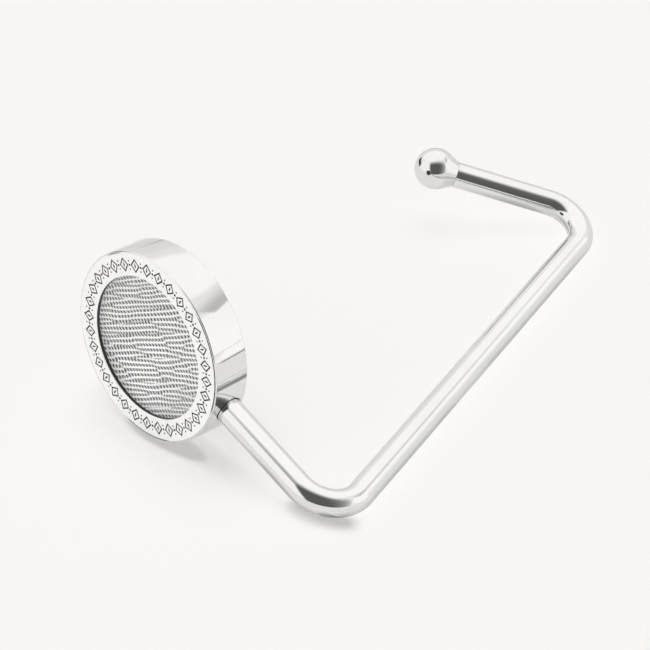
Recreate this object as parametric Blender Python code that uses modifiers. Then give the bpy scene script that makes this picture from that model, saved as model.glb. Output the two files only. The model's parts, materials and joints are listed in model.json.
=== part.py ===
"""A purse hook: a disc with a leather face that stands on a table, and a bent rod that carries the bag.

Lengths are in metres and angles in degrees. The hook's own axes are those of its use: +X out along
the arm, +Z out of the leather face, and the origin on the disc's axis at its back face. The whole
hook is then laid on its side on the floor, on the disc's rim and the rod's long leg.
"""

import math

import bmesh
import bpy
from mathutils import Matrix, Vector

# Disc: the lip stands round the face ring, and a wall of metal is left on both sides of the rod's bore
DISC_RADIUS = 0.018
DISC_EDGE = 0.0003
LIP_WIDTH = 0.0005
BORE_WALL = 0.000475

# Face ring and what it holds
RING_WIDTH = 0.00385
RING_THICKNESS = 0.0007
RING_INNER_CHAMFER = 0.0003
RING_OUTER_CHAMFER = 0.00012
INSERT_OVERLAP = 0.0006
INSERT_THICKNESS = 0.0007
INSERT_EDGE = 0.0002
BOARD_THICKNESS = 0.0004
BOARD_EDGE = 0.00005

# Pad under the disc, and the film that holds it
PAD_MARGIN = 0.0016
PAD_THICKNESS = 0.001
PAD_PROUD = 0.0004
PAD_EDGE = 0.0002
ADHESIVE_THICKNESS = 0.00015
ADHESIVE_MARGIN = 0.0008
ADHESIVE_EDGE = 0.00002

# Rod: the arm runs out from the disc, the leg down past the table's edge, the toe back up
ROD_RADIUS = 0.0025
ARM_REACH = 0.0467
LEG_LENGTH = 0.1076
TOE_LENGTH = 0.0346
SHOULDER_BEND = 106.9
TOE_BEND = 115.5
BEND_RADIUS = 0.007

# Ends of the rod: a narrower spigot goes into the disc, and another into the ball
SPIGOT_RADIUS = 0.00125
SPIGOT_LENGTH = 0.006
SPIGOT_CHAMFER = 0.0002
SHOULDER_SLOPE = 0.00002
SEAT_WALL = 0.0005
BALL_OVERHANG = 0.0016
NECK_RADIUS = 0.0025
NECK_COLLAR = 0.0003

# Pin that locks the rod in the disc, and how far it bites into the metal past the rod's bore
PIN_RADIUS = 0.0005
PIN_CHAMFER = 0.00012
PIN_BITE = 0.0011

# Space that touching pieces keep, and how far a cutter reaches past the face that it opens
GAP = 0.0002
CUT_BEYOND = 0.0003

# Faces round a turned piece, round the rod and along each bend
DISC_STEPS = 64
BALL_STEPS = 36
BALL_ARC_STEPS = 12
NECK_STEPS = 6
SMALL_STEPS = 20
ROD_BEVEL_RESOLUTION = 10
BEND_STEPS = 12
ROUND_STEPS = 3

MERGE_DISTANCE = 0.000005
SMOOTH_ANGLE = 32.0

# Radii of what is seated in the disc
RING_SEAT_RADIUS = DISC_RADIUS - LIP_WIDTH
RING_OPENING_RADIUS = RING_SEAT_RADIUS - GAP - RING_WIDTH
INSERT_RADIUS = RING_OPENING_RADIUS + INSERT_OVERLAP
PAD_RADIUS = DISC_RADIUS - PAD_MARGIN

# Heights from the disc's back face up to its front: pad, film, web with the bore, board, leather, ring
PAD_TOP_Z = PAD_THICKNESS - PAD_PROUD
ADHESIVE_BOTTOM_Z = PAD_TOP_Z + GAP
PAD_FLOOR_Z = ADHESIVE_BOTTOM_Z + ADHESIVE_THICKNESS + GAP
BORE_RADIUS = SPIGOT_RADIUS + GAP
ROD_HEIGHT = PAD_FLOOR_Z + BORE_WALL + BORE_RADIUS
RECESS_FLOOR_Z = ROD_HEIGHT + BORE_RADIUS + BORE_WALL
BOARD_BOTTOM_Z = RECESS_FLOOR_Z + GAP
INSERT_BOTTOM_Z = BOARD_BOTTOM_Z + BOARD_THICKNESS + GAP
RING_SEAT_Z = INSERT_BOTTOM_Z + INSERT_THICKNESS
RING_BOTTOM_Z = RING_SEAT_Z + GAP
DISC_THICKNESS = RING_BOTTOM_Z + RING_THICKNESS

# The rod's seat in the rim, and the pin midway between the walls of the two recesses
SEAT_X = PAD_RADIUS + GAP + SEAT_WALL
SEAT_DEPTH = DISC_RADIUS - SEAT_X
ROD_START_X = SEAT_X + GAP
PIN_X = (INSERT_RADIUS + PAD_RADIUS) / 2 + GAP
PIN_BOTTOM_Z = PAD_FLOOR_Z + GAP
PIN_LENGTH = ROD_HEIGHT + BORE_RADIUS + PIN_BITE - PIN_BOTTOM_Z

# The ball's flared neck is an arc that touches both the ball and the rod
BALL_RADIUS = ROD_RADIUS + BALL_OVERHANG
NECK_CENTRE = ROD_RADIUS + NECK_RADIUS
NECK_Z = math.sqrt((BALL_RADIUS + NECK_RADIUS) ** 2 - NECK_CENTRE**2)
BALL_FOOT = NECK_Z + NECK_COLLAR

MATERIALS = {
    "polished_chrome": ((0.86, 0.86, 0.87), 0.06, 1.0),
    "satin_chrome": ((0.82, 0.82, 0.82), 0.32, 1.0),
    "silver_leather": ((0.60, 0.60, 0.61), 0.42, 0.6),
    "grey_board": ((0.42, 0.39, 0.34), 0.9, 0.0),
    "black_rubber": ((0.03, 0.03, 0.032), 0.75, 0.0),
    "clear_adhesive": ((0.80, 0.78, 0.68), 0.5, 0.0),
    "bare_steel": ((0.52, 0.52, 0.53), 0.3, 1.0),
}


def clear_scene():
    for old in list(bpy.data.objects):
        bpy.data.objects.remove(old)


def new_collection(name):
    collection = bpy.data.collections.new(name)
    bpy.context.scene.collection.children.link(collection)
    return collection


def new_material(name):
    colour, roughness, metallic = MATERIALS[name]
    material = bpy.data.materials.new(name)
    material.use_nodes = True
    shader = material.node_tree.nodes["Principled BSDF"]
    shader.inputs["Base Color"].default_value = (*colour, 1.0)
    shader.inputs["Roughness"].default_value = roughness
    shader.inputs["Metallic"].default_value = metallic
    return material


def evaluated_mesh(obj):
    bpy.context.view_layer.update()
    graph = bpy.context.evaluated_depsgraph_get()
    return bpy.data.meshes.new_from_object(obj.evaluated_get(graph))


def place(name, mesh, material, collection, parent, matrix):
    obj = bpy.data.objects.new(name, mesh)
    collection.objects.link(obj)
    obj.parent = parent
    obj.matrix_local = matrix
    mesh.shade_smooth()
    mesh.set_sharp_from_angle(angle=math.radians(SMOOTH_ANGLE))
    mesh.materials.clear()
    mesh.materials.append(material)
    return obj


def turned_mesh(profile, steps):
    """The solid swept by a half section of (radius, height) points, listed from its top down its outside."""
    outline = bpy.data.meshes.new("profile")
    closed = profile[0][0] > 0.0
    edges = [(i, i + 1) for i in range(len(profile) - 1)]
    if closed:
        edges.append((len(profile) - 1, 0))
    outline.from_pydata([(radius, 0.0, height) for radius, height in profile], edges, [])
    obj = bpy.data.objects.new("profile", outline)
    bpy.context.scene.collection.objects.link(obj)
    screw = obj.modifiers.new("Turn", "SCREW")
    screw.steps = steps
    screw.render_steps = steps
    screw.use_merge_vertices = True
    screw.merge_threshold = MERGE_DISTANCE
    mesh = evaluated_mesh(obj)
    bpy.data.objects.remove(obj)
    return mesh


def quarter_round(centre, radius, start, end):
    """Points of an arc round centre between two angles, in degrees from outwards towards up."""
    points = []
    for step in range(ROUND_STEPS + 1):
        angle = math.radians(start + (end - start) * step / ROUND_STEPS)
        points.append((centre[0] + radius * math.cos(angle), centre[1] + radius * math.sin(angle)))
    return points


def plate_profile(radius, bottom, top, edge):
    """A round plate's half section, with its two outer edges chamfered."""
    return [
        (0.0, top),
        (radius - edge, top),
        (radius, top - edge),
        (radius, bottom + edge),
        (radius - edge, bottom),
        (0.0, bottom),
    ]


def add_cutter(name, mesh, cutters, parent, matrix, targets):
    cutter = bpy.data.objects.new(name, mesh)
    cutters.objects.link(cutter)
    cutter.parent = parent
    cutter.matrix_local = matrix
    cutter.hide_render = True
    cutter.display_type = "WIRE"
    for target in targets:
        cut = target.modifiers.new(name, "BOOLEAN")
        cut.operation = "DIFFERENCE"
        cut.solver = "EXACT"
        cut.object = cutter


def disc_body_profile():
    """The puck: a recess for ring, leather and board in front, and one for the pad behind."""
    inner = DISC_RADIUS - DISC_EDGE
    recess = INSERT_RADIUS + GAP
    pad_recess = PAD_RADIUS + GAP
    return [
        (0.0, RECESS_FLOOR_Z),
        (recess, RECESS_FLOOR_Z),
        (recess, RING_SEAT_Z),
        (RING_SEAT_RADIUS, RING_SEAT_Z),
        (RING_SEAT_RADIUS, DISC_THICKNESS),
        *quarter_round((inner, DISC_THICKNESS - DISC_EDGE), DISC_EDGE, 90, 0),
        *quarter_round((inner, DISC_EDGE), DISC_EDGE, 0, -90),
        (pad_recess, 0.0),
        (pad_recess, PAD_FLOOR_Z),
        (0.0, PAD_FLOOR_Z),
    ]


def face_ring_profile():
    outer = RING_SEAT_RADIUS - GAP
    return [
        (RING_OPENING_RADIUS + RING_INNER_CHAMFER, DISC_THICKNESS),
        (outer - RING_OUTER_CHAMFER, DISC_THICKNESS),
        (outer, DISC_THICKNESS - RING_OUTER_CHAMFER),
        (outer, RING_BOTTOM_Z),
        (RING_OPENING_RADIUS, RING_BOTTOM_Z),
        (RING_OPENING_RADIUS, DISC_THICKNESS - RING_INNER_CHAMFER),
    ]


def socket_profile():
    """The cutter of the rod's socket, standing on its blind end: a narrow bore, then a wide seat."""
    seat_radius = ROD_RADIUS + GAP
    outside = SPIGOT_LENGTH + SEAT_DEPTH + CUT_BEYOND
    return [
        (0.0, outside),
        (seat_radius, outside),
        (seat_radius, SPIGOT_LENGTH),
        (BORE_RADIUS, SPIGOT_LENGTH),
        (BORE_RADIUS, 0.0),
        (0.0, 0.0),
    ]


def ball_profile():
    """The ball and its flared neck, with a blind bore up to the ball's centre for the rod's end."""
    touch = math.degrees(math.atan2(-NECK_Z, NECK_CENTRE))
    points = [(0.0, BALL_RADIUS)]
    for step in range(1, BALL_ARC_STEPS + 1):
        angle = math.radians(90 + (touch - 90) * step / BALL_ARC_STEPS)
        points.append((BALL_RADIUS * math.cos(angle), BALL_RADIUS * math.sin(angle)))
    for step in range(1, NECK_STEPS + 1):
        angle = math.radians(180 + touch - touch * step / NECK_STEPS)
        radius = NECK_CENTRE + NECK_RADIUS * math.cos(angle)
        points.append((radius, NECK_RADIUS * math.sin(angle) - NECK_Z))
    points.append((ROD_RADIUS, -BALL_FOOT))
    points.append((BORE_RADIUS, -BALL_FOOT))
    points.append((BORE_RADIUS, 0.0))
    points.append((0.0, 0.0))
    return points


def heading(turn):
    """The rod's direction once it has turned down from the arm by this many degrees."""
    return Vector((math.cos(math.radians(turn)), 0.0, -math.sin(math.radians(turn))))


ARM = heading(0.0)
LEG = heading(SHOULDER_BEND)
TOE = heading(SHOULDER_BEND + TOE_BEND)
SHOULDER = Vector((ARM_REACH, 0.0, ROD_HEIGHT))
FOOT = SHOULDER + LEG_LENGTH * LEG
BALL_CENTRE = FOOT + TOE_LENGTH * TOE


def bend(corner, before, after):
    """Points of the bend between two straight runs that would meet at the corner."""
    turn = before.angle(after)
    inward = (after - before.dot(after) * before).normalized()
    centre = corner - BEND_RADIUS * math.tan(turn / 2) * before + BEND_RADIUS * inward
    points = []
    for step in range(BEND_STEPS + 1):
        angle = turn * step / BEND_STEPS
        points.append(centre + BEND_RADIUS * (math.sin(angle) * before - math.cos(angle) * inward))
    return points


def rod_points():
    """(point, radius) along the rod, from its end in the disc to its end in the ball."""
    root = Vector((ROD_START_X, 0.0, ROD_HEIGHT))
    tip = BALL_CENTRE - (BALL_FOOT + GAP) * TOE
    narrow = SPIGOT_RADIUS - SPIGOT_CHAMFER
    shoulder = ROD_RADIUS - SPIGOT_CHAMFER
    points = [
        (root - SPIGOT_LENGTH * ARM, narrow),
        (root - (SPIGOT_LENGTH - SPIGOT_CHAMFER) * ARM, SPIGOT_RADIUS),
        (root, SPIGOT_RADIUS),
        (root + SHOULDER_SLOPE * ARM, shoulder),
        (root + SPIGOT_CHAMFER * ARM, ROD_RADIUS),
    ]
    points += [(point, ROD_RADIUS) for point in bend(SHOULDER, ARM, LEG)]
    points += [(point, ROD_RADIUS) for point in bend(FOOT, LEG, TOE)]
    points += [
        (tip, ROD_RADIUS),
        (tip + SHOULDER_SLOPE * TOE, SPIGOT_RADIUS),
        (tip + (BALL_FOOT - SPIGOT_CHAMFER) * TOE, SPIGOT_RADIUS),
        (tip + BALL_FOOT * TOE, narrow),
    ]
    return points


def rod_mesh():
    path = bpy.data.curves.new("rod_path", "CURVE")
    path.dimensions = "3D"
    path.bevel_depth = ROD_RADIUS
    path.bevel_resolution = ROD_BEVEL_RESOLUTION
    path.use_fill_caps = True
    points = rod_points()
    spline = path.splines.new("POLY")
    spline.points.add(len(points) - 1)
    for knot, (place_at, radius) in zip(spline.points, points):
        knot.co = (*place_at, 1.0)
        knot.radius = radius / ROD_RADIUS
    obj = bpy.data.objects.new("rod_path", path)
    bpy.context.scene.collection.objects.link(obj)
    mesh = evaluated_mesh(obj)
    bpy.data.objects.remove(obj)
    shape = bmesh.new()
    shape.from_mesh(mesh)
    bmesh.ops.remove_doubles(shape, verts=shape.verts, dist=MERGE_DISTANCE)
    bmesh.ops.recalc_face_normals(shape, faces=shape.faces)
    shape.to_mesh(mesh)
    shape.free()
    return mesh


def standing(axis, origin):
    """The place of a turned piece whose +Z points along axis, with its own origin at this point."""
    return Matrix.Translation(origin) @ axis.to_track_quat("Z", "Y").to_matrix().to_4x4()


def lying_up():
    """The direction that points up when the disc's rim and the leg both touch the floor."""
    centre = Vector((0.0, 0.0, DISC_THICKNESS / 2)) - SHOULDER
    inward = (centre - centre.dot(LEG) * LEG).normalized()
    across = Vector((0.0, 1.0, 0.0))
    low, high = 0.0, math.pi / 2
    for _ in range(50):
        tilt = (low + high) / 2
        up = math.cos(tilt) * across + math.sin(tilt) * inward
        slant = abs(up.z)
        reach = (DISC_RADIUS - DISC_EDGE) * math.sqrt(1 - slant * slant)
        reach += (DISC_THICKNESS / 2 - DISC_EDGE) * slant + DISC_EDGE
        if centre.dot(up) + ROD_RADIUS < reach:
            low = tilt
        else:
            high = tilt
    return up


def lay_on_floor(frame, pieces):
    """Turns the hook so that it lies at rest, with its box centred over the world's origin, on z = 0."""
    up = lying_up()
    frame.matrix_world = Matrix((LEG.cross(up), LEG, up)).to_4x4()
    bpy.context.view_layer.update()
    graph = bpy.context.evaluated_depsgraph_get()
    corners = []
    for piece in pieces:
        evaluated = piece.evaluated_get(graph)
        corners += [evaluated.matrix_world @ vertex.co for vertex in evaluated.data.vertices]
    low = [min(corner[axis] for corner in corners) for axis in range(3)]
    high = [max(corner[axis] for corner in corners) for axis in range(3)]
    frame.location = (-(low[0] + high[0]) / 2, -(low[1] + high[1]) / 2, -low[2])


def build():
    clear_scene()
    parts = new_collection("purse_hook")
    cutters = new_collection("cutters")
    cutters.hide_render = True
    frame = bpy.data.objects.new("hook_frame", None)
    parts.objects.link(frame)
    finish = {name: new_material(name) for name in MATERIALS}
    upright = Matrix.Identity(4)

    def add(name, mesh, material, matrix=upright):
        return place(name, mesh, finish[material], parts, frame, matrix)

    def add_plate(name, radius, bottom, thickness, edge, material):
        profile = plate_profile(radius, bottom, bottom + thickness, edge)
        return add(name, turned_mesh(profile, DISC_STEPS), material)

    body = add("disc_body", turned_mesh(disc_body_profile(), DISC_STEPS), "polished_chrome")
    ring = add("face_ring", turned_mesh(face_ring_profile(), DISC_STEPS), "satin_chrome")
    insert = add_plate(
        "leather_insert", INSERT_RADIUS, INSERT_BOTTOM_Z, INSERT_THICKNESS, INSERT_EDGE, "silver_leather"
    )
    board = add_plate(
        "insert_board", INSERT_RADIUS, BOARD_BOTTOM_Z, BOARD_THICKNESS, BOARD_EDGE, "grey_board"
    )
    pad = add_plate("grip_pad", PAD_RADIUS, -PAD_PROUD, PAD_THICKNESS, PAD_EDGE, "black_rubber")
    film_radius = PAD_RADIUS - ADHESIVE_MARGIN
    adhesive = add_plate(
        "pad_adhesive", film_radius, ADHESIVE_BOTTOM_Z, ADHESIVE_THICKNESS, ADHESIVE_EDGE, "clear_adhesive"
    )
    arm = add("hook_arm", rod_mesh(), "polished_chrome")
    ball_mesh = turned_mesh(ball_profile(), BALL_STEPS)
    ball = add("ball_tip", ball_mesh, "polished_chrome", standing(TOE, BALL_CENTRE))
    pin_mesh = turned_mesh(plate_profile(PIN_RADIUS, 0.0, PIN_LENGTH, PIN_CHAMFER), SMALL_STEPS)
    pin_place = Matrix.Translation((PIN_X, 0.0, PIN_BOTTOM_Z))
    pin = add("locking_pin", pin_mesh, "bare_steel", pin_place)

    socket_foot = Vector((SEAT_X - SPIGOT_LENGTH, 0.0, ROD_HEIGHT))
    socket_mesh = turned_mesh(socket_profile(), BALL_STEPS)
    add_cutter("socket_cutter", socket_mesh, cutters, frame, standing(ARM, socket_foot), [body])
    hole_profile = plate_profile(PIN_RADIUS + GAP, -GAP - CUT_BEYOND, PIN_LENGTH + GAP, PIN_CHAMFER)
    hole_mesh = turned_mesh(hole_profile, SMALL_STEPS)
    add_cutter("pin_cutter", hole_mesh, cutters, frame, pin_place, [body, arm])
    lay_on_floor(frame, [body, ring, insert, board, pad, adhesive, arm, ball, pin])


build()
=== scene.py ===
"""A purse hook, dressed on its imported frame: a polished disc with a leather face, and a bent rod with a ball.

Lengths are in metres and angles in degrees. Each piece is modelled on the hook's own axes, +X out along
the arm and +Z out of the leather face with the origin on the disc's axis at its back, and its mesh is then
laid on the floor with the rest.
"""

import json
import math

import bmesh
import bpy
import numpy as np
from mathutils import Matrix, Vector


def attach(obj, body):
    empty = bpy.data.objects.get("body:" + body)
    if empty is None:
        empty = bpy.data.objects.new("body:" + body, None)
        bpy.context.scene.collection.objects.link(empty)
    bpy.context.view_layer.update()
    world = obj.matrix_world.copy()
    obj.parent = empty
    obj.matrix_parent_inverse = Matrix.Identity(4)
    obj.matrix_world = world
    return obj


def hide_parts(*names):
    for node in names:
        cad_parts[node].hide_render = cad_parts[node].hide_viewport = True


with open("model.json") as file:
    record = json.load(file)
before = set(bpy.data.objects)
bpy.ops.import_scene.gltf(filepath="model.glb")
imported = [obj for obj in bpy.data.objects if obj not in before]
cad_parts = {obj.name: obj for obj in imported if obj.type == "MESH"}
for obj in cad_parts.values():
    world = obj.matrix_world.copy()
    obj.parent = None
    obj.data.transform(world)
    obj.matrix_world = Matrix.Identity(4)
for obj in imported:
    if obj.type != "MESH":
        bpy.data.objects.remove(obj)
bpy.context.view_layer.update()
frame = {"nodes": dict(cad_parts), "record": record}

# Disc
DISC_RADIUS = 0.018
DISC_THICKNESS = 0.0074
DISC_EDGE = 0.0002
LIP_WIDTH = 0.00023
LIP_CHAMFER = 0.00002
RING_SEAT_Z = 0.0065
RECESS_FLOOR_Z = 0.005
PAD_FLOOR_Z = 0.00115

# Face ring, leather and pad
RING_OUTER_RADIUS = 0.017765
RING_OPENING_RADIUS = 0.01345
RING_BOTTOM_Z = 0.0067
RING_INNER_CHAMFER = 0.00006
RING_OUTER_CHAMFER = 0.00002
RING_MARGIN = 0.00024
INSERT_RADIUS = 0.01405
INSERT_BOTTOM_Z = 0.0058
INSERT_TOP_Z = 0.0065
PAD_RADIUS = 0.0164
PAD_THICKNESS = 0.001
PAD_PROUD = 0.0004
PAD_EDGE = 0.0002

# Rod, from its end in the disc to its end in the ball
ROD_RADIUS = 0.0025
ROD_HEIGHT = 0.003075
ROD_START_X = 0.0173
ARM_REACH = 0.0467
LEG_LENGTH = 0.1076
TOE_LENGTH = 0.0346
SHOULDER_BEND = 106.9
TOE_BEND = 115.5
BEND_RADIUS = 0.007
SPIGOT_RADIUS = 0.00125
SPIGOT_LENGTH = 0.006
SPIGOT_CHAMFER = 0.0002

# Ball and the cone that runs down from it to the rod
BALL_RADIUS = 0.0041
CONE_SLOPE = 28.0
BALL_ARC_STEPS = 48
SEAM = 0.00004

GAP = 0.0002
MERGE_DISTANCE = 0.000001

# Faces round and along the pieces
ROD_SIDES = 96
BEND_STEPS = 48
BALL_SPIN_STEPS = 128
DISC_SPIN_STEPS = 256
SOCKET_SPIN_STEPS = 96
EDGE_STEPS = 8

# Edges that turn by more degrees than this stay sharp
PLAIN_SHARP = 30
DISC_SHARP = 35
RING_SHARP = 20
LEATHER_SHARP = 60

# Ornament of the ring
MOTIF_COUNT = 32
MOTIF_RADIUS = 0.0155
LOZENGE_HEIGHT = 0.0023
LOZENGE_WIDTH = 0.002
LOZENGE_SIDES = 4
GROOVE_WIDTH = 0.0004
GROOVE_DEPTH = 0.00018
DART_HEIGHT = 0.0012
DART_WIDTH = 0.0004
DOTS = ((-0.00075, 0.0002), (0.0, 0.00028), (0.00075, 0.0002))  # place across the ring, radius

# Faces of the ring painted near black: its cuts, the wall of its opening as painted shade, and arcs of its
# margin as painted shade and painted reflection
CUT_SHALLOWEST = 0.00001
CUT_DEEPEST = 0.0003
CUT_FROM_OPENING = 0.0001
WALL_THICKNESS = 0.00002
# Arcs of the margin that carry a painted dark reflection and painted shade along the lip
PAINTED_MARGIN_ARCS = (  # from, to, how dark; by angle from the arm
    (-88.0, -45.0, 0.9),
    (-50.0, 5.0, 0.45),
    (0.0, 68.0, 1.0),
    (133.0, 151.0, 0.7),
)
MARGIN_FADE = 6.0

# Embossing of the leather: lengths and angles in mm and degrees on its own face, relief in metres
ROW_ANGLE = 45.0
ROW_PITCH = 0.93
ROW_PITCH_DRIFT = 0.2
ROW_LEAN_DRIFT = 0.1
ROW_STEEPNESS = 4.0
CREST_SHARE = 0.45
RIB_PITCH = 0.86
RIB_LEAN = 0.447
RIB_PITCH_DRIFT = 0.1
RIB_LEAN_DRIFT = 0.4
RIB_STEEPNESS = 4.0
ROW_RELIEF = 0.00012
RIB_RELIEF = 0.00005
# How dark the painted shade is at the bottom of the valleys, and in the gaps between ribs on the crests
VALLEY_SHADE = 0.39
CREST_SHADE = 0.12
WAVE_COUNT = 40
WAVE_STEPS = (0.618, 0.7549, 0.5698)  # they spread the waves' pitches, leans and starts evenly
WAVE_START_TURNS = 7
WAVE_FAINTEST = 0.1
WAVE_EVENING = 0.7
LEATHER_CELLS = 268
LEATHER_CLEARANCE = 0.00002
MM_PER_METRE = 1000

# Camera and floor
CAMERA_PLACE = Vector((0.20968, -0.36973, 0.30946))
CAMERA_SWING = -29.896
CAMERA_TILT = 35.975
CAMERA_ROLL = -0.602
CAMERA_LENS_MM = 154.09
CAMERA_SENSOR_MM = 36.0
CAMERA_NEAR = 0.01
CAMERA_FAR = 20.0
FLOOR_HALF_SIDE = 4.0
FLOOR_COLOUR = (0.93, 0.921, 0.904)

# How much of the floor shows its own even colour, by kind of ray; the rest shows the shadows
FLOOR_EVENNESS = (("Is Camera Ray", 0.2), ("Is Glossy Ray", 0.15), ("Is Transmission Ray", 0.2))

# Lights: directions as swing from +Y towards +X and rise above the floor
WORLD_LIGHT = 0.25
STUDIO_WHITE = (1.0, 0.99, 0.972, 1.0)
DISC_PIECES = ("disc_shell", "engraved_ring", "embossed_leather")
LAMPS = (
    # name, swing, rise, softness, strength, what it casts shadows of
    ("fill_lamp", 150.0, 10.0, 10.0, 3.0, ()),
    ("sky_lamp", -60.0, 76.0, 45.0, 0.94, (*DISC_PIECES, "elbow_flag", "disc_flag")),
    ("even_lamp", 0.0, 85.0, 40.0, 0.95, ("elbow_flag", "disc_flag")),
)

# This lamp is sampled by itself, so only the pieces that it names hold back its light. Every piece holds back
# a little of the other two, which evens out the glow that the leg throws on the floor.
SHIELDED_LAMP = "sky_lamp"

# Flags out of sight that deepen the shadows where the hook touches the floor
FLAG_SIDES = 48
FLAGS = (
    # name, place, half sizes, turn
    ("elbow_flag", (0.0238, -0.0486, 0.004), (0.0068, 0.0026), 0.0),
    ("disc_flag", (-0.0105, -0.0441, 0.0025), (0.0095, 0.0026), -10.0),
)

# Studio cards. Their edges are left, right, bottom and top as the hook sees them. For those that lie flat
# the last two are near and far.
CARD_LIFT = 0.0001
STANDING, FLAT = False, True
CARDS = (
    # name, swing, rise, distance, how it is held, edges, their fades, brightness
    ("dark_card_by_camera", 149.9, 36.0, 0.6, STANDING,
     (-1.02, 0.5, -0.54, 0.6), (0.84, 0.2, 0.02, 0.4), 0.12),
    ("grey_card_over_camera", 149.9, 36.0, 0.62, STANDING,
     (-1.2, 0.15, -0.5, 0.95), (0.5, 0.6, 0.1, 0.9), 0.6),
    ("dark_card_left", -89.0, 5.0, 1.5, STANDING,
     (-0.5, 0.55, -0.3, 0.35), (0.1, 0.1, 0.1, 0.1), 0.1),
    ("overhead_softbox", -28.0, 69.0, 1.5, STANDING,
     (-2.1, 1.3, -1.3, 1.8), (0.3, 0.2, 0.3, 0.3), 1.19),
    ("right_softbox", 68.0, 24.0, 1.7, STANDING,
     (-1.35, 1.8, -0.42, 0.4), (0.2, 0.3, 0.15, 0.1), 1.19),
    ("low_right_softbox", 69.0, 0.0, 1.6, STANDING,
     (-0.42, 0.5, 0.001, 0.5), (0.1, 0.2, 0.0005, 0.1), 1.19),
    ("left_softbox", -143.0, 25.0, 1.7, STANDING,
     (-1.7, 1.3, -0.8, 1.3), (0.3, 0.3, 0.1, 0.3), 1.13),
    ("grey_card_behind", -10.0, 4.0, 2.2, STANDING,
     (-2.6, 2.6, -0.3, 0.95), (0.6, 0.6, 0.1, 0.5), 0.93),
    ("dark_band_behind", -15.0, 1.0, 2.0, STANDING,
     (-1.0, 0.9, -0.06, 0.14), (0.3, 0.3, 0.02, 0.1), 0.55),
    ("grey_card_right", 50.0, 38.0, 1.4, STANDING,
     (-0.55, 0.2, -0.14, 0.2), (0.55, 0.04, 0.02, 0.24), 0.62),
    ("dark_strip_right", 69.0, 0.0, 0.1, FLAT,
     (-0.06, 0.06, 0.002, 0.02), (0.01, 0.01, 0.004, 0.004), 0.25),
    ("white_strip_right", 69.0, 0.0, 0.1, FLAT,
     (-0.05, 0.1, 0.03, 0.8), (0.02, 0.05, 0.01, 0.2), 1.19),
    # The flat dark cards under the leg, by the elbow, under the arm and under the toe are painted shadow: the
    # metal reflects them in place of the hook's contact shadows on the floor.
    ("shade_under_leg", 90.0, 0.0, 0.0289, FLAT,
     (-0.055, 0.01, -0.01, 0.01), (0.02, 0.02, 0.01, 0.01), 0.6),
    ("shade_by_elbow", 90.0, 0.0, 0.0289, FLAT,
     (-0.01, 0.055, -0.001, 0.01), (0.02, 0.02, 0.001, 0.01), 0.6),
    ("shadow_line_by_elbow", 90.0, 0.0, 0.0289, FLAT,
     (-0.005, 0.056, -0.0045, -0.0003), (0.01, 0.006, 0.0008, 0.0005), 0.34),
    ("shade_under_arm", 163.0, 0.0, 0.052, FLAT,
     (-0.022, 0.022, -0.01, 0.01), (0.016, 0.016, 0.01, 0.01), 0.55),
    ("shade_under_toe", 17.0, 0.0, 0.048, FLAT,
     (-0.015, 0.015, -0.015, 0.015), (0.015, 0.015, 0.015, 0.015), 0.55),
)

CONE_TOP_RADIUS = BALL_RADIUS * math.cos(math.radians(CONE_SLOPE))
CONE_TOP = BALL_RADIUS * math.sin(math.radians(CONE_SLOPE))
BALL_FOOT = CONE_TOP + (CONE_TOP_RADIUS - ROD_RADIUS) / math.tan(math.radians(CONE_SLOPE))
BORE_RADIUS = SPIGOT_RADIUS + GAP

# Sockets of a Mix node that mixes colours
MIX_MASK, MIX_LOW, MIX_HIGH, MIX_RESULT = 0, 6, 7, 2


def hook_placement():
    """The matrix from the hook's own axes to the floor, worked out from the face of its pad."""
    mount = frame["record"]["mounts"][0]
    out_of_leather = -Vector(mount["axis"]).normalized()
    leg = Vector((0.0, 1.0, 0.0))
    across = leg.cross(out_of_leather).normalized()
    arm = across.cross(out_of_leather)
    back = Vector(mount["pos_m"]) + PAD_PROUD * out_of_leather
    turn = Matrix((arm, across, out_of_leather)).transposed().to_4x4()
    return Matrix.Translation(back) @ turn


HOOK = hook_placement()


def heading(turn):
    """The rod's direction once it has turned down from the arm by this many degrees."""
    return Vector((math.cos(math.radians(turn)), 0.0, -math.sin(math.radians(turn))))


ARM = heading(0.0)
LEG = heading(SHOULDER_BEND)
TOE = heading(SHOULDER_BEND + TOE_BEND)
SHOULDER = Vector((ARM_REACH, 0.0, ROD_HEIGHT))
FOOT = SHOULDER + LEG_LENGTH * LEG
BALL_CENTRE = FOOT + TOE_LENGTH * TOE


def arc(centre, radius, start, end, steps):
    """Points of an arc in the (radius, height) plane, between two angles from outwards towards up."""
    points = []
    for step in range(steps + 1):
        angle = math.radians(start + (end - start) * step / steps)
        points.append((centre[0] + radius * math.cos(angle), centre[1] + radius * math.sin(angle)))
    return points


def facing(direction):
    """The turn that takes +Z to this direction."""
    return direction.to_track_quat("Z", "Y").to_matrix().to_4x4()


def spin_round(shape, geometry, steps):
    """Spins part of a bmesh full round +Z."""
    bmesh.ops.spin(
        shape,
        geom=geometry,
        cent=(0.0, 0.0, 0.0),
        axis=(0.0, 0.0, 1.0),
        angle=math.tau,
        steps=steps,
        use_merge=True,
    )


def turned(profile, steps, closed=False):
    """A bmesh spun full round +Z from a half section of (radius, height) points."""
    shape = bmesh.new()
    points = [shape.verts.new((radius, 0.0, height)) for radius, height in profile]
    edges = [shape.edges.new(pair) for pair in zip(points, points[1:])]
    if closed:
        edges.append(shape.edges.new((points[-1], points[0])))
    spin_round(shape, points + edges, steps)
    bmesh.ops.remove_doubles(shape, verts=shape.verts, dist=MERGE_DISTANCE)
    bmesh.ops.recalc_face_normals(shape, faces=shape.faces)
    return shape


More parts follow.
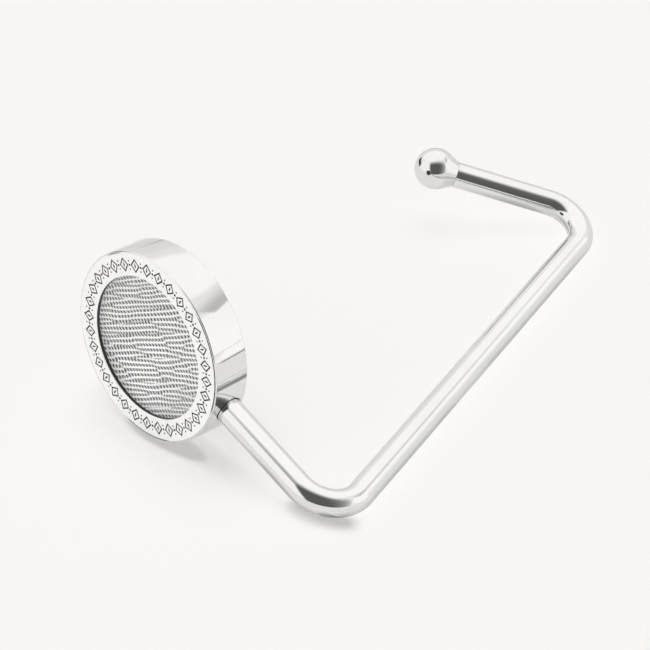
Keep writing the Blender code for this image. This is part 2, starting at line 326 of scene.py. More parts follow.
def mesh_of(name, shape, sharp_angle):
    """The finished mesh of a bmesh, smooth but for the edges that turn by more than the sharp angle."""
    mesh = bpy.data.meshes.new(name)
    shape.to_mesh(mesh)
    shape.free()
    mesh.shade_smooth()
    mesh.set_sharp_from_angle(angle=math.radians(sharp_angle))
    return mesh


def put(name, data):
    """A new object in the scene with this mesh, lamp or camera."""
    made = bpy.data.objects.new(name, data)
    bpy.context.scene.collection.objects.link(made)
    return made


def cut(mesh, cutter_mesh, sharp_angle):
    """The mesh with the cutter taken out of it."""
    target = put("target", mesh)
    cutter = put("cutter", cutter_mesh)
    step = target.modifiers.new("Cut", "BOOLEAN")
    step.operation = "DIFFERENCE"
    step.solver = "EXACT"
    step.object = cutter
    bpy.context.view_layer.update()
    graph = bpy.context.evaluated_depsgraph_get()
    result = bpy.data.meshes.new_from_object(target.evaluated_get(graph))
    for helper in (target, cutter):
        bpy.data.objects.remove(helper)
    result.shade_smooth()
    result.set_sharp_from_angle(angle=math.radians(sharp_angle))
    return result


def add_piece(name, mesh, material, node):
    """Lays the mesh on the floor with the hook and puts it in the node's place."""
    mesh.transform(HOOK)
    mesh.materials.clear()
    mesh.materials.append(material)
    piece = put(name, mesh)
    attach(piece, "root")
    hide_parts(node)


def edges_between(points):
    """The edges whose two ends are both among these points, in the same order each run."""
    chosen = set(points)
    met = dict.fromkeys(edge for point in points for edge in point.link_edges)
    return [edge for edge in met if chosen.issuperset(edge.verts)]


def points_in(geometry):
    """The points among what an operator made."""
    return [item for item in geometry if isinstance(item, bmesh.types.BMVert)]


def middle_of(points):
    """The mean place of some points."""
    return sum((point.co for point in points), Vector()) / len(points)


def extend(shape, rim, travel, radius=None):
    """Extrudes the rim of a rod by travel, sets its new radius, and returns the new rim's points."""
    points = points_in(bmesh.ops.extrude_edge_only(shape, edges=edges_between(rim))["geom"])
    bmesh.ops.translate(shape, verts=points, vec=travel)
    if radius is not None:
        centre = middle_of(points)
        growth = radius / (points[0].co - centre).length
        about = Matrix.Translation(-centre)
        bmesh.ops.scale(shape, verts=points, vec=(growth, growth, growth), space=about)
    return points


def sweep(shape, rim, corner, before, after):
    """Spins the rim of a rod round the bend between two straight runs that would meet at the corner."""
    turn = before.angle(after)
    inward = (after - before.dot(after) * before).normalized()
    centre = corner - BEND_RADIUS * math.tan(turn / 2) * before + BEND_RADIUS * inward
    run = (centre - BEND_RADIUS * inward - middle_of(rim)).dot(before)
    rim = extend(shape, rim, run * before)
    made = bmesh.ops.spin(
        shape,
        geom=[*rim, *edges_between(rim)],
        cent=centre,
        axis=before.cross(after).normalized(),
        angle=turn,
        steps=BEND_STEPS,
    )
    return points_in(made["geom_last"])


def rod_shape():
    """The bent rod, swept from its narrow end in the disc to its narrow end in the ball."""
    shape = bmesh.new()
    root = Vector((ROD_START_X, 0.0, ROD_HEIGHT))
    tip = BALL_CENTRE - (BALL_FOOT + SEAM) * TOE
    spigot_tip_radius = SPIGOT_RADIUS - SPIGOT_CHAMFER
    rim = bmesh.ops.create_circle(
        shape,
        cap_ends=True,
        segments=ROD_SIDES,
        radius=spigot_tip_radius,
        matrix=Matrix.Translation(root - SPIGOT_LENGTH * ARM) @ facing(ARM),
    )["verts"]
    rim = extend(shape, rim, SPIGOT_CHAMFER * ARM, SPIGOT_RADIUS)
    rim = extend(shape, rim, (SPIGOT_LENGTH - SPIGOT_CHAMFER) * ARM)
    rim = extend(shape, rim, Vector(), ROD_RADIUS - SPIGOT_CHAMFER)
    rim = extend(shape, rim, SPIGOT_CHAMFER * ARM, ROD_RADIUS)
    rim = sweep(shape, rim, SHOULDER, ARM, LEG)
    rim = sweep(shape, rim, FOOT, LEG, TOE)
    rim = extend(shape, rim, tip - middle_of(rim))
    rim = extend(shape, rim, Vector(), SPIGOT_RADIUS)
    rim = extend(shape, rim, (BALL_FOOT + SEAM - GAP - SPIGOT_CHAMFER) * TOE)
    rim = extend(shape, rim, SPIGOT_CHAMFER * TOE, spigot_tip_radius)
    bmesh.ops.edgeloop_fill(shape, edges=edges_between(rim))
    bmesh.ops.recalc_face_normals(shape, faces=shape.faces)
    return shape


def ball_shape():
    """The ball and the cone that runs down from it to the rod, bored up to the ball's centre."""
    profile = arc((0.0, 0.0), BALL_RADIUS, 90, -CONE_SLOPE, BALL_ARC_STEPS)
    profile[0] = (0.0, BALL_RADIUS)
    profile += [(ROD_RADIUS, -BALL_FOOT), (BORE_RADIUS, -BALL_FOOT), (BORE_RADIUS, 0.0), (0.0, 0.0)]
    shape = turned(profile, BALL_SPIN_STEPS)
    bmesh.ops.transform(shape, verts=shape.verts, matrix=Matrix.Translation(BALL_CENTRE) @ facing(TOE))
    return shape


def disc_shape():
    """The turned puck: rounded rims, a recess for ring and leather in front and one for the pad behind."""
    inner = DISC_RADIUS - DISC_EDGE
    seat_radius = DISC_RADIUS - LIP_WIDTH
    recess = INSERT_RADIUS + GAP
    pad_recess = PAD_RADIUS + GAP
    profile = [
        (0.0, RECESS_FLOOR_Z),
        (recess, RECESS_FLOOR_Z),
        (recess, RING_SEAT_Z),
        (seat_radius, RING_SEAT_Z),
        (seat_radius, DISC_THICKNESS - LIP_CHAMFER),
        (seat_radius + LIP_CHAMFER, DISC_THICKNESS),
        *arc((inner, DISC_THICKNESS - DISC_EDGE), DISC_EDGE, 90, 0, EDGE_STEPS),
        *arc((inner, DISC_EDGE), DISC_EDGE, 0, -90, EDGE_STEPS),
        (pad_recess, 0.0),
        (pad_recess, PAD_FLOOR_Z),
        (0.0, PAD_FLOOR_Z),
    ]
    return turned(profile, DISC_SPIN_STEPS)


def socket_shape():
    """The cutter of the rod's seat in the rim and of the narrow bore behind it."""
    seat_radius = ROD_RADIUS + GAP
    seat_x = ROD_START_X - GAP
    profile = [
        (0.0, DISC_RADIUS),
        (seat_radius, DISC_RADIUS),
        (seat_radius, seat_x),
        (BORE_RADIUS, seat_x),
        (BORE_RADIUS, seat_x - SPIGOT_LENGTH),
        (0.0, seat_x - SPIGOT_LENGTH),
    ]
    shape = turned(profile, SOCKET_SPIN_STEPS)
    lift = Matrix.Translation((0.0, 0.0, ROD_HEIGHT))
    bmesh.ops.transform(shape, verts=shape.verts, matrix=lift @ facing(ARM))
    return shape


def ring_shape():
    """The flat face ring, its edges broken, with a narrow margin at its outer edge."""
    profile = [
        (RING_OPENING_RADIUS + RING_INNER_CHAMFER, DISC_THICKNESS),
        (RING_OUTER_RADIUS - RING_MARGIN, DISC_THICKNESS),
        (RING_OUTER_RADIUS - RING_OUTER_CHAMFER, DISC_THICKNESS),
        (RING_OUTER_RADIUS, DISC_THICKNESS - RING_OUTER_CHAMFER),
        (RING_OUTER_RADIUS, RING_BOTTOM_Z),
        (RING_OPENING_RADIUS, RING_BOTTOM_Z),
        (RING_OPENING_RADIUS, DISC_THICKNESS - RING_INNER_CHAMFER),
    ]
    return turned(profile, DISC_SPIN_STEPS, closed=True)


def engraving_shape():
    """The cutters of the ring's ornament: V-cut lozenges round darts, and dots between each two."""
    shape = bmesh.new()
    groove_share = GROOVE_WIDTH / LOZENGE_HEIGHT
    for index in range(MOTIF_COUNT):
        turn = Matrix.Rotation(math.tau * index / MOTIF_COUNT, 4, "Z")
        centre = turn @ Matrix.Translation((MOTIF_RADIUS, 0.0, DISC_THICKNESS))
        section = [
            shape.verts.new((1.0 + groove_share, 0.0, 0.0)),
            shape.verts.new((1.0, 0.0, GROOVE_DEPTH)),
            shape.verts.new((1.0 - groove_share, 0.0, 0.0)),
            shape.verts.new((1.0, 0.0, -GROOVE_DEPTH)),
        ]
        sides = [shape.edges.new((section[i], section[i - 1])) for i in range(len(section))]
        spin_round(shape, section + sides, LOZENGE_SIDES)
        lozenge = [point for point in shape.verts if not point.tag]
        bmesh.ops.scale(shape, verts=lozenge, vec=(LOZENGE_HEIGHT / 2, LOZENGE_WIDTH / 2, 1.0))
        bmesh.ops.transform(shape, verts=lozenge, matrix=centre)
        dart = bmesh.ops.create_uvsphere(
            shape, u_segments=LOZENGE_SIDES, v_segments=2, radius=1.0
        )["verts"]
        bmesh.ops.scale(shape, verts=dart, vec=(DART_HEIGHT / 2, DART_WIDTH / 2, GROOVE_DEPTH))
        bmesh.ops.transform(shape, verts=dart, matrix=centre)
        half_turn = Matrix.Rotation(math.tau * (index + 0.5) / MOTIF_COUNT, 4, "Z")
        for offset, radius in DOTS:
            place = half_turn @ Matrix.Translation((MOTIF_RADIUS + offset, 0.0, DISC_THICKNESS))
            bmesh.ops.create_icosphere(shape, subdivisions=1, radius=radius, matrix=place)
        for point in shape.verts:
            point.tag = True
    bmesh.ops.remove_doubles(shape, verts=shape.verts, dist=MERGE_DISTANCE)
    bmesh.ops.recalc_face_normals(shape, faces=shape.faces)
    return shape


def wave_field(along, across, pitch, pitch_drift, lean_drift):
    """Sums waves of nearly one pitch and lean, in mm, and evens out their swing.

    The real part is the height, from about -1 to 1, and the imaginary part is its quarter turn.
    """
    total = np.zeros_like(along, dtype=complex)
    for index in range(WAVE_COUNT):
        pitch_share, lean_share, start = [(index * step + 0.5) % 1.0 for step in WAVE_STEPS]
        turns_across = (1 + pitch_drift * (2 * pitch_share - 1)) / pitch
        turns_along = turns_across * lean_drift * (2 * lean_share - 1)
        turns = along * turns_along + across * turns_across + WAVE_START_TURNS * start
        total += np.exp(1j * math.tau * turns)
    total /= math.sqrt(WAVE_COUNT / 2)
    return total / np.maximum(np.abs(total), WAVE_FAINTEST) ** WAVE_EVENING


def leather_relief(x, y):
    """(height, painted shade) of the embossing at points of the leather, in metres and from 0 to 1."""
    angle = math.radians(ROW_ANGLE)
    along = (x * math.cos(angle) + y * math.sin(angle)) * MM_PER_METRE
    across = (y * math.cos(angle) - x * math.sin(angle)) * MM_PER_METRE
    rows = wave_field(along, across, ROW_PITCH, ROW_PITCH_DRIFT, ROW_LEAN_DRIFT)
    from_valley = np.angle(-rows) / math.tau * ROW_PITCH
    ribs = wave_field(across, along + RIB_LEAN * from_valley, RIB_PITCH, RIB_PITCH_DRIFT, RIB_LEAN_DRIFT)
    crest = 1 / (1 + np.exp(-ROW_STEEPNESS * (rows.real - CREST_SHARE)))
    gap = 1 / (1 + np.exp(-RIB_STEEPNESS * ribs.real))
    height = ROW_RELIEF * crest + RIB_RELIEF * (1 - gap) * (1 - crest)
    # Painted shade: the valleys between the rows and the gaps between ribs darken the leather's colour where
    # shade falls in the embossing.
    painted_groove_shade = (1 - crest) * (VALLEY_SHADE + (1 - VALLEY_SHADE) * gap) + CREST_SHADE * crest * gap
    return height, np.clip(painted_groove_shade, 0, 1)


def painted_margin_shade(x, y):
    """How dark the painted shade and painted reflection on the ring's margin are in this direction from the
    disc's middle, from 0 to 1.
    """
    angle = math.degrees(math.atan2(y, x))
    shade = 0.0
    for start, end, dark in PAINTED_MARGIN_ARCS:
        shade = max(shade, dark * min(1.0, (angle - start) / MARGIN_FADE, (end - angle) / MARGIN_FADE))
    return shade


def mark_black_cuts_and_painted_shade(mesh):
    """Marks the faces of the ring painted near black: its cuts, the wall of its opening as painted shade, and
    part of its margin as painted shade and painted reflection.
    """
    marks = mesh.attributes.new("black_cuts_and_painted_shade", "FLOAT", "FACE")
    cuts_from = RING_OPENING_RADIUS + RING_INNER_CHAMFER + CUT_FROM_OPENING
    margin_from = RING_OUTER_RADIUS - RING_MARGIN
    for face, mark in zip(mesh.polygons, marks.data):
        radius = math.hypot(face.center.x, face.center.y)
        sunk = DISC_THICKNESS - face.center.z
        if radius > margin_from:
            mark.value = painted_margin_shade(face.center.x, face.center.y)
            continue
        engraved = radius > cuts_from and CUT_SHALLOWEST < sunk < CUT_DEEPEST
        # The cuts are painted black, and the wall of the opening is painted shade.
        mark.value = float(engraved or radius < RING_OPENING_RADIUS + WALL_THICKNESS)


def leather_mesh():
    """A round of embossed leather: a square grid pulled round, raised by the embossing, on a flat slab."""
    shape = bmesh.new()
    layer = shape.verts.layers.float.new("painted_groove_shade")
    bmesh.ops.create_grid(shape, x_segments=LEATHER_CELLS, y_segments=LEATHER_CELLS, size=1.0)
    for point in shape.verts:
        x, y = point.co.x, point.co.y
        point.co.x = INSERT_RADIUS * x * math.sqrt(1 - y * y / 2)
        point.co.y = INSERT_RADIUS * y * math.sqrt(1 - x * x / 2)
    rim = [edge for edge in shape.edges if edge.is_boundary]
    low = points_in(bmesh.ops.extrude_edge_only(shape, edges=rim)["geom"])
    bmesh.ops.translate(shape, verts=low, vec=(0.0, 0.0, INSERT_BOTTOM_Z))
    bmesh.ops.edgeloop_fill(shape, edges=edges_between(low))
    under = set(low)
    face = [point for point in shape.verts if point not in under]
    x = np.array([point.co.x for point in face])
    y = np.array([point.co.y for point in face])
    height, painted_groove_shade = leather_relief(x, y)
    top = INSERT_TOP_Z - LEATHER_CLEARANCE
    peak = ROW_RELIEF + RIB_RELIEF
    for point, rise, depth in zip(face, height, painted_groove_shade):
        point.co.z = top - peak + rise
        # Each point keeps the painted shade of the grooves for the leather's colour.
        point[layer] = depth
    shape.normal_update()
    bmesh.ops.recalc_face_normals(shape, faces=shape.faces)
    return mesh_of("leather_face", shape, LEATHER_SHARP)


def pad_shape():
    """The rubber pad: a plain round with soft edges, proud of the disc's back."""
    top = PAD_THICKNESS - PAD_PROUD
    inner = PAD_RADIUS - PAD_EDGE
    profile = [
        (0.0, top),
        (inner, top),
        *arc((inner, top - PAD_EDGE), PAD_EDGE, 90, 0, EDGE_STEPS)[1:],
        *arc((inner, PAD_EDGE - PAD_PROUD), PAD_EDGE, 0, -90, EDGE_STEPS),
        (0.0, -PAD_PROUD),
    ]
    return turned(profile, DISC_SPIN_STEPS)


def shader_node(tree, kind, inputs=None, **settings):
    """A node of a shader tree, with some of its settings and of its inputs' values."""
    made = tree.nodes.new(kind)
    for name, value in settings.items():
        setattr(made, name, value)
    for name, value in (inputs or {}).items():
        made.inputs[name].default_value = value
    return made


def grain_group():
    """Height and tone of a fine even grain, such as blasted metal, rubber or board."""
    group = bpy.data.node_groups.new("fine_grain", "ShaderNodeTree")
    group.interface.new_socket("Size", in_out="INPUT", socket_type="NodeSocketFloat")
    group.interface.new_socket("Height", in_out="OUTPUT", socket_type="NodeSocketFloat")
    group.interface.new_socket("Tone", in_out="OUTPUT", socket_type="NodeSocketFloat")
    inlet = group.nodes.new("NodeGroupInput")
    outlet = group.nodes.new("NodeGroupOutput")
    place = group.nodes.new("ShaderNodeTexCoord")
    scale = shader_node(group, "ShaderNodeMath", {0: 1.0}, operation="DIVIDE")
    fine = shader_node(group, "ShaderNodeTexNoise", {"Detail": 3.0, "Roughness": 0.6})
    broad = shader_node(group, "ShaderNodeTexNoise", {"Scale": 160.0, "Detail": 2.0})
    group.links.new(inlet.outputs["Size"], scale.inputs[1])
    group.links.new(scale.outputs[0], fine.inputs["Scale"])
    group.links.new(place.outputs["Object"], fine.inputs["Vector"])
    group.links.new(place.outputs["Object"], broad.inputs["Vector"])
    group.links.new(fine.outputs["Fac"], outlet.inputs["Height"])
    group.links.new(broad.outputs["Fac"], outlet.inputs["Tone"])
    return group


def handling_group():
    """Marks of handling on bright plate: faint smears, and hairlines that show as height."""
    group = bpy.data.node_groups.new("handling_marks", "ShaderNodeTree")
    group.interface.new_socket("Smears", in_out="OUTPUT", socket_type="NodeSocketFloat")
    group.interface.new_socket("Hairlines", in_out="OUTPUT", socket_type="NodeSocketFloat")
    outlet = group.nodes.new("NodeGroupOutput")
    place = group.nodes.new("ShaderNodeTexCoord")
    smears = shader_node(group, "ShaderNodeTexNoise", {"Scale": 90.0, "Detail": 4.0, "Distortion": 0.8})
    spread = shader_node(group, "ShaderNodeMapRange", {"From Min": 0.45, "From Max": 0.8})
    stretch = shader_node(
        group, "ShaderNodeMapping", {"Rotation": (0.4, 0.9, 0.3), "Scale": (1.0, 22.0, 22.0)}
    )
    lines = shader_node(group, "ShaderNodeTexNoise", {"Scale": 260.0, "Detail": 2.0})
    thin = shader_node(group, "ShaderNodeMapRange", {"From Min": 0.62, "From Max": 0.72})
    group.links.new(place.outputs["Object"], smears.inputs["Vector"])
    group.links.new(smears.outputs["Fac"], spread.inputs["Value"])
    group.links.new(place.outputs["Object"], stretch.inputs["Vector"])
    group.links.new(stretch.outputs["Vector"], lines.inputs["Vector"])
    group.links.new(lines.outputs["Fac"], thin.inputs["Value"])
    group.links.new(spread.outputs["Result"], outlet.inputs["Smears"])
    group.links.new(thin.outputs["Result"], outlet.inputs["Hairlines"])
    return group


def new_material(name, colour, roughness, metallic=0.0, **constants):
    """A material with its Principled shader's own constants, and the tree to add its pattern to."""
    material = bpy.data.materials.new(name)
    material.use_nodes = True
    tree = material.node_tree
    shader = tree.nodes["Principled BSDF"]
    shader.inputs["Base Color"].default_value = colour
    shader.inputs["Roughness"].default_value = roughness
    shader.inputs["Metallic"].default_value = metallic
    for socket, value in constants.items():
        shader.inputs[socket.replace("_", " ")].default_value = value
    return material, tree, shader


def vary(tree, mask, socket, low, high):
    """Drives a shader's number from low to high as a mask goes from 0 to 1."""
    ramp = shader_node(tree, "ShaderNodeMapRange", {"To Min": low, "To Max": high})
    tree.links.new(mask, ramp.inputs["Value"])
    tree.links.new(ramp.outputs["Result"], socket)


def feed(tree, socket, value):
    """Links another node's socket to this one, or sets this one's value."""
    if isinstance(value, bpy.types.NodeSocket):
        tree.links.new(value, socket)
    else:
        socket.default_value = value


def arithmetic(tree, operation, *values, clamp=False):
    """The result of a Math node on sockets and numbers."""
    node = shader_node(tree, "ShaderNodeMath", operation=operation, use_clamp=clamp)
    for socket, value in zip(node.inputs, values):
        feed(tree, socket, value)
    return node.outputs[0]


def grey(level):
    """A neutral colour with its alpha."""
    return (level, level, level, 1.0)


def blend(tree, mask, low, high):
    """The colour that goes from low to high as a mask goes from 0 to 1."""
    mix = shader_node(tree, "ShaderNodeMix", data_type="RGBA")
    for index, value in ((MIX_MASK, mask), (MIX_LOW, low), (MIX_HIGH, high)):
        feed(tree, mix.inputs[index], value)
    return mix.outputs[MIX_RESULT]


def tint(tree, mask, shader, low, high):
    """Drives a shader's base colour from low to high as a mask goes from 0 to 1."""
    tree.links.new(blend(tree, mask, low, high), shader.inputs["Base Color"])


def bump(tree, height, shader, distance, strength):
    """Raises the surface by a height from 0 to 1 times distance."""
    raised = shader_node(tree, "ShaderNodeBump", {"Distance": distance, "Strength": strength})
    tree.links.new(height, raised.inputs["Height"])
    tree.links.new(raised.outputs["Normal"], shader.inputs["Normal"])


def polished_chrome():
    material, tree, shader = new_material("polished_chrome", grey(0.785), 0.06, 1.0, Specular_Tint=grey(0.85))
    marks = shader_node(tree, "ShaderNodeGroup", node_tree=HANDLING)
    vary(tree, marks.outputs["Smears"], shader.inputs["Roughness"], 0.05, 0.09)
    tint(tree, marks.outputs["Smears"], shader, grey(0.785), grey(0.745))
    bump(tree, marks.outputs["Hairlines"], shader, 0.000002, 0.15)
    return material


def satin_chrome():
    material, tree, shader = new_material("satin_chrome", grey(0.97), 0.32, 1.0)
    grain = shader_node(tree, "ShaderNodeGroup", {"Size": 0.00009}, node_tree=GRAIN)
    black_cuts_and_painted_shade = shader_node(tree, "ShaderNodeAttribute", attribute_name="black_cuts_and_painted_shade").outputs["Fac"]
    plate = blend(tree, grain.outputs["Height"], grey(0.95), grey(0.99))
    # Marked faces are painted near black and not metal: the cuts, painted shade on the opening's wall, and
    # painted shade and reflection on the margin.
    tint(tree, black_cuts_and_painted_shade, shader, plate, grey(0.012))
    vary(tree, black_cuts_and_painted_shade, shader.inputs["Metallic"], 1.0, 0.0)
    vary(tree, grain.outputs["Tone"], shader.inputs["Roughness"], 0.27, 0.37)
    bump(tree, grain.outputs["Height"], shader, 0.00001, 0.35)
    return material


def silver_leather():
    material, tree, shader = new_material("silver_leather", grey(0.7), 0.4, 0.8)
    painted_groove_shade = shader_node(tree, "ShaderNodeAttribute", attribute_name="painted_groove_shade").outputs["Fac"]
    grain = shader_node(tree, "ShaderNodeGroup", {"Size": 0.00014}, node_tree=GRAIN)
    # The colour carries painted shade: near black in the valleys and the gaps between ribs, with less metal and
    # more roughness there.
    tint(tree, painted_groove_shade, shader, grey(0.93), grey(0.0))
    vary(tree, painted_groove_shade, shader.inputs["Roughness"], 0.34, 0.6)
    vary(tree, painted_groove_shade, shader.inputs["Metallic"], 0.35, 0.0)
    bump(tree, grain.outputs["Height"], shader, 0.00002, 0.4)
    return material


def pressed_board():
    material, tree, shader = new_material("grey_board", (0.42, 0.39, 0.34, 1.0), 0.9)
    grain = shader_node(tree, "ShaderNodeGroup", {"Size": 0.0003}, node_tree=GRAIN)
    tint(tree, grain.outputs["Height"], shader, (0.36, 0.33, 0.28, 1.0), (0.48, 0.45, 0.40, 1.0))
    vary(tree, grain.outputs["Tone"], shader.inputs["Roughness"], 0.8, 0.95)
    bump(tree, grain.outputs["Height"], shader, 0.00003, 0.5)
    return material


def moulded_rubber():
    material, tree, shader = new_material("black_rubber", (0.03, 0.03, 0.032, 1.0), 0.75)
    grain = shader_node(tree, "ShaderNodeGroup", {"Size": 0.00025}, node_tree=GRAIN)
    tint(tree, grain.outputs["Tone"], shader, (0.022, 0.022, 0.024, 1.0), (0.05, 0.05, 0.052, 1.0))
    vary(tree, grain.outputs["Height"], shader.inputs["Roughness"], 0.62, 0.85)
    bump(tree, grain.outputs["Height"], shader, 0.00004, 0.6)
    return material


def adhesive_film():
    material, tree, shader = new_material("clear_adhesive", (0.8, 0.78, 0.68, 1.0), 0.5)
    grain = shader_node(tree, "ShaderNodeGroup", {"Size": 0.0006}, node_tree=GRAIN)
    tint(tree, grain.outputs["Tone"], shader, (0.74, 0.71, 0.60, 1.0), (0.84, 0.82, 0.73, 1.0))
    vary(tree, grain.outputs["Height"], shader.inputs["Roughness"], 0.4, 0.6)
    return material


def ground_steel():
    material, tree, shader = new_material("bare_steel", (0.52, 0.52, 0.53, 1.0), 0.3, 1.0)
    marks = shader_node(tree, "ShaderNodeGroup", node_tree=HANDLING)
    vary(tree, marks.outputs["Smears"], shader.inputs["Roughness"], 0.25, 0.4)
    tint(tree, marks.outputs["Smears"], shader, (0.54, 0.54, 0.55, 1.0), (0.45, 0.45, 0.46, 1.0))
    bump(tree, marks.outputs["Hairlines"], shader, 0.00001, 0.4)
    return material


def compass(swing, rise):
    """The direction that lies swing degrees from +Y towards +X and rise degrees above the floor."""
    swing, rise = math.radians(swing), math.radians(rise)
    return Vector((math.sin(swing) * math.cos(rise), math.cos(swing) * math.cos(rise), math.sin(rise)))


def aim_camera():
    """The photograph's camera: where it stands, and how it is turned from looking along +Y."""
    lens = bpy.data.cameras.new("camera")
    lens.lens = CAMERA_LENS_MM
    lens.sensor_width = CAMERA_SENSOR_MM
    lens.clip_start = CAMERA_NEAR
    lens.clip_end = CAMERA_FAR
    camera = put("camera", lens)
    level = compass(CAMERA_SWING, -CAMERA_TILT).to_track_quat("-Z", "Y").to_matrix().to_4x4()
    roll = Matrix.Rotation(math.radians(CAMERA_ROLL), 4, "Z")
    camera.matrix_world = Matrix.Translation(CAMERA_PLACE) @ level @ roll
    bpy.context.scene.camera = camera


def set_up(name, shape, material, place):
    """A part of the studio with this shape and material, in its place."""
    mesh = bpy.data.meshes.new(name)
    shape.to_mesh(mesh)
    shape.free()
    mesh.materials.append(material)
    prop = put(name, mesh)
    prop.matrix_world = place
    return prop


def show_mixed(tree, share, first, second, output):
    """Shows the second shader in place of the first by a share from 0 to 1."""
    mix = shader_node(tree, "ShaderNodeMixShader")
    for socket, source in zip(mix.inputs, (share, first, second)):
        tree.links.new(source, socket)
    tree.links.new(mix.outputs[0], output.inputs["Surface"])


def lay_floor():
    """A pale floor, part of which shows its own even colour."""
    shape = bmesh.new()
    bmesh.ops.create_grid(shape, x_segments=1, y_segments=1, size=FLOOR_HALF_SIDE)
    colour = (*FLOOR_COLOUR, 1.0)
    material, tree, shader = new_material("pale_floor", colour, 1.0, Specular_IOR_Level=0.0)
    even = shader_node(tree, "ShaderNodeEmission", {"Color": colour})
    path = shader_node(tree, "ShaderNodeLightPath")
    share = 0.0
    for ray, amount in FLOOR_EVENNESS:
        share = arithmetic(tree, "MULTIPLY_ADD", path.outputs[ray], amount, share)
    show_mixed(tree, share, shader.outputs[0], even.outputs[0], tree.nodes["Material Output"])
    floor = set_up("floor", shape, material, Matrix())


def card_material(name, edges, fades, brightness):
    """A glowing card with four fading edges, gone after a diffuse bounce so that the floor stays even."""
    material = bpy.data.materials.new(name)
    material.use_nodes = True
    tree = material.node_tree
    tree.nodes.clear()
    place = shader_node(tree, "ShaderNodeTexCoord")
    split = shader_node(tree, "ShaderNodeSeparateXYZ")
    path = shader_node(tree, "ShaderNodeLightPath")
    tree.links.new(place.outputs["Object"], split.inputs["Vector"])
    cover = arithmetic(tree, "SUBTRACT", 1.0, path.outputs["Diffuse Depth"], clamp=True)
    for axis, edge, fade, inwards in zip("XXYY", edges, fades, (1, -1, 1, -1)):
        side = shader_node(
            tree,
            "ShaderNodeMapRange",
            {"From Min": edge, "From Max": edge + inwards * fade},
            interpolation_type="SMOOTHSTEP",
        )
        tree.links.new(split.outputs[axis], side.inputs["Value"])
        cover = arithmetic(tree, "MULTIPLY", cover, side.outputs["Result"])
    clear = shader_node(tree, "ShaderNodeBsdfTransparent")
    glow = shader_node(tree, "ShaderNodeEmission", {"Color": STUDIO_WHITE, "Strength": brightness})
    output = shader_node(tree, "ShaderNodeOutputMaterial")
    show_mixed(tree, cover, clear.outputs[0], glow.outputs[0], output)
    return material


def hang_card(name, swing, rise, distance, flat, edges, fades, brightness):
    """A studio card that only the metal shows. It faces the hook, or lies on the floor."""
    left, right, bottom, top = edges
    shape = bmesh.new()
    middle = Matrix.Translation(((left + right) / 2, (bottom + top) / 2, 0.0))
    size = Matrix.Diagonal(((right - left) / 2, (top - bottom) / 2, 1.0, 1.0))
    bmesh.ops.create_grid(shape, x_segments=1, y_segments=1, size=1.0, matrix=middle @ size)
    away = compass(swing, rise)
    turn = Matrix.Rotation(-math.radians(swing), 4, "Z") if flat else facing(-away)
    place = Matrix.Translation(distance * away + Vector((0.0, 0.0, CARD_LIFT))) @ turn
    card = set_up(name, shape, card_material(name, edges, fades, brightness), place)
    card.visible_camera = False
    card.visible_diffuse = False
    card.visible_transmission = False
    card.visible_shadow = False


def hang_lamp(name, swing, rise, softness, strength, blockers):
    """A soft lamp that the metal doesn't show and that casts shadows only of the named pieces."""
    light = bpy.data.lights.new(name, "SUN")
    light.angle = math.radians(softness)
    light.energy = strength
    light.cycles.use_multiple_importance_sampling = name != SHIELDED_LAMP
    light.use_shadow = bool(blockers)
    lamp = put(name, light)
    lamp.rotation_euler = compass(swing, rise).to_track_quat("Z", "Y").to_euler()
    lamp.visible_glossy = False
    if blockers:
        casting = bpy.data.collections.new(name + "_shadows")
        for piece in blockers:
            casting.objects.link(bpy.data.objects[piece])
        lamp.light_linking.blocker_collection = casting


def hang_flag(name, place, half_sizes, turn):
    """A dark oval close over the floor that only stops the light of the lamps that name it."""
    shape = bmesh.new()
    bmesh.ops.create_circle(shape, cap_ends=True, segments=FLAG_SIDES, radius=1.0)
    bmesh.ops.scale(shape, verts=shape.verts, vec=(*half_sizes, 1.0))
    cloth = new_material(name + "_cloth", grey(0.02), 1.0)[0]
    turned_place = Matrix.Translation(place) @ Matrix.Rotation(math.radians(turn), 4, "Z")
    flag = set_up(name, shape, cloth, turned_place)
    flag.visible_camera = False
    flag.visible_diffuse = False
    flag.visible_glossy = False
    flag.visible_transmission = False


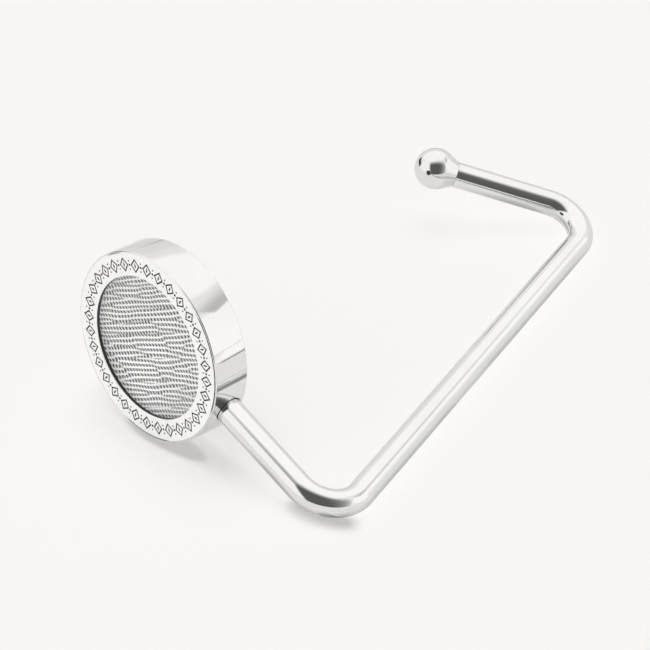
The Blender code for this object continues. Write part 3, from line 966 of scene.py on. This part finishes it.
def light_studio():
    """An even pale world, dimmer for what it lights than for what shows it, with flags, lamps and cards."""
    world = bpy.data.worlds.new("studio")
    bpy.context.scene.world = world
    world.use_nodes = True
    tree = world.node_tree
    background = tree.nodes["Background"]
    background.inputs["Color"].default_value = STUDIO_WHITE
    path = shader_node(tree, "ShaderNodeLightPath")
    shown = path.outputs["Is Camera Ray"]
    for ray in ("Is Glossy Ray", "Is Transmission Ray"):
        shown = arithmetic(tree, "MAXIMUM", shown, path.outputs[ray])
    shown = arithmetic(tree, "SUBTRACT", shown, path.outputs["Diffuse Depth"], clamp=True)
    vary(tree, shown, background.inputs["Strength"], WORLD_LIGHT, 1.0)
    for flag in FLAGS:
        hang_flag(*flag)
    for lamp in LAMPS:
        hang_lamp(*lamp)
    for card in CARDS:
        hang_card(*card)


HANDLING = handling_group()
GRAIN = grain_group()
CHROME = polished_chrome()

bpy.context.scene.view_settings.view_transform = "Standard"

rod = mesh_of("rod", rod_shape(), PLAIN_SHARP)
add_piece("rod", rod, CHROME, "hook_arm")
ball = mesh_of("ball", ball_shape(), PLAIN_SHARP)
add_piece("ball", ball, CHROME, "ball_tip")
socket_cutter = mesh_of("socket", socket_shape(), PLAIN_SHARP)
disc = cut(mesh_of("disc", disc_shape(), DISC_SHARP), socket_cutter, DISC_SHARP)
add_piece("disc_shell", disc, CHROME, "disc_body")
ornament = mesh_of("engraving", engraving_shape(), RING_SHARP)
ring = cut(mesh_of("ring", ring_shape(), RING_SHARP), ornament, RING_SHARP)
mark_black_cuts_and_painted_shade(ring)
add_piece("engraved_ring", ring, satin_chrome(), "face_ring")
add_piece("embossed_leather", leather_mesh(), silver_leather(), "leather_insert")
pad = mesh_of("pad", pad_shape(), PLAIN_SHARP)
add_piece("rubber_pad", pad, moulded_rubber(), "grip_pad")
for node_name, material in (
    ("insert_board", pressed_board()),
    ("pad_adhesive", adhesive_film()),
    ("locking_pin", ground_steel()),
):
    hidden = frame["nodes"][node_name]
    hidden.data.materials.clear()
    hidden.data.materials.append(material)

aim_camera()
lay_floor()
light_studio()
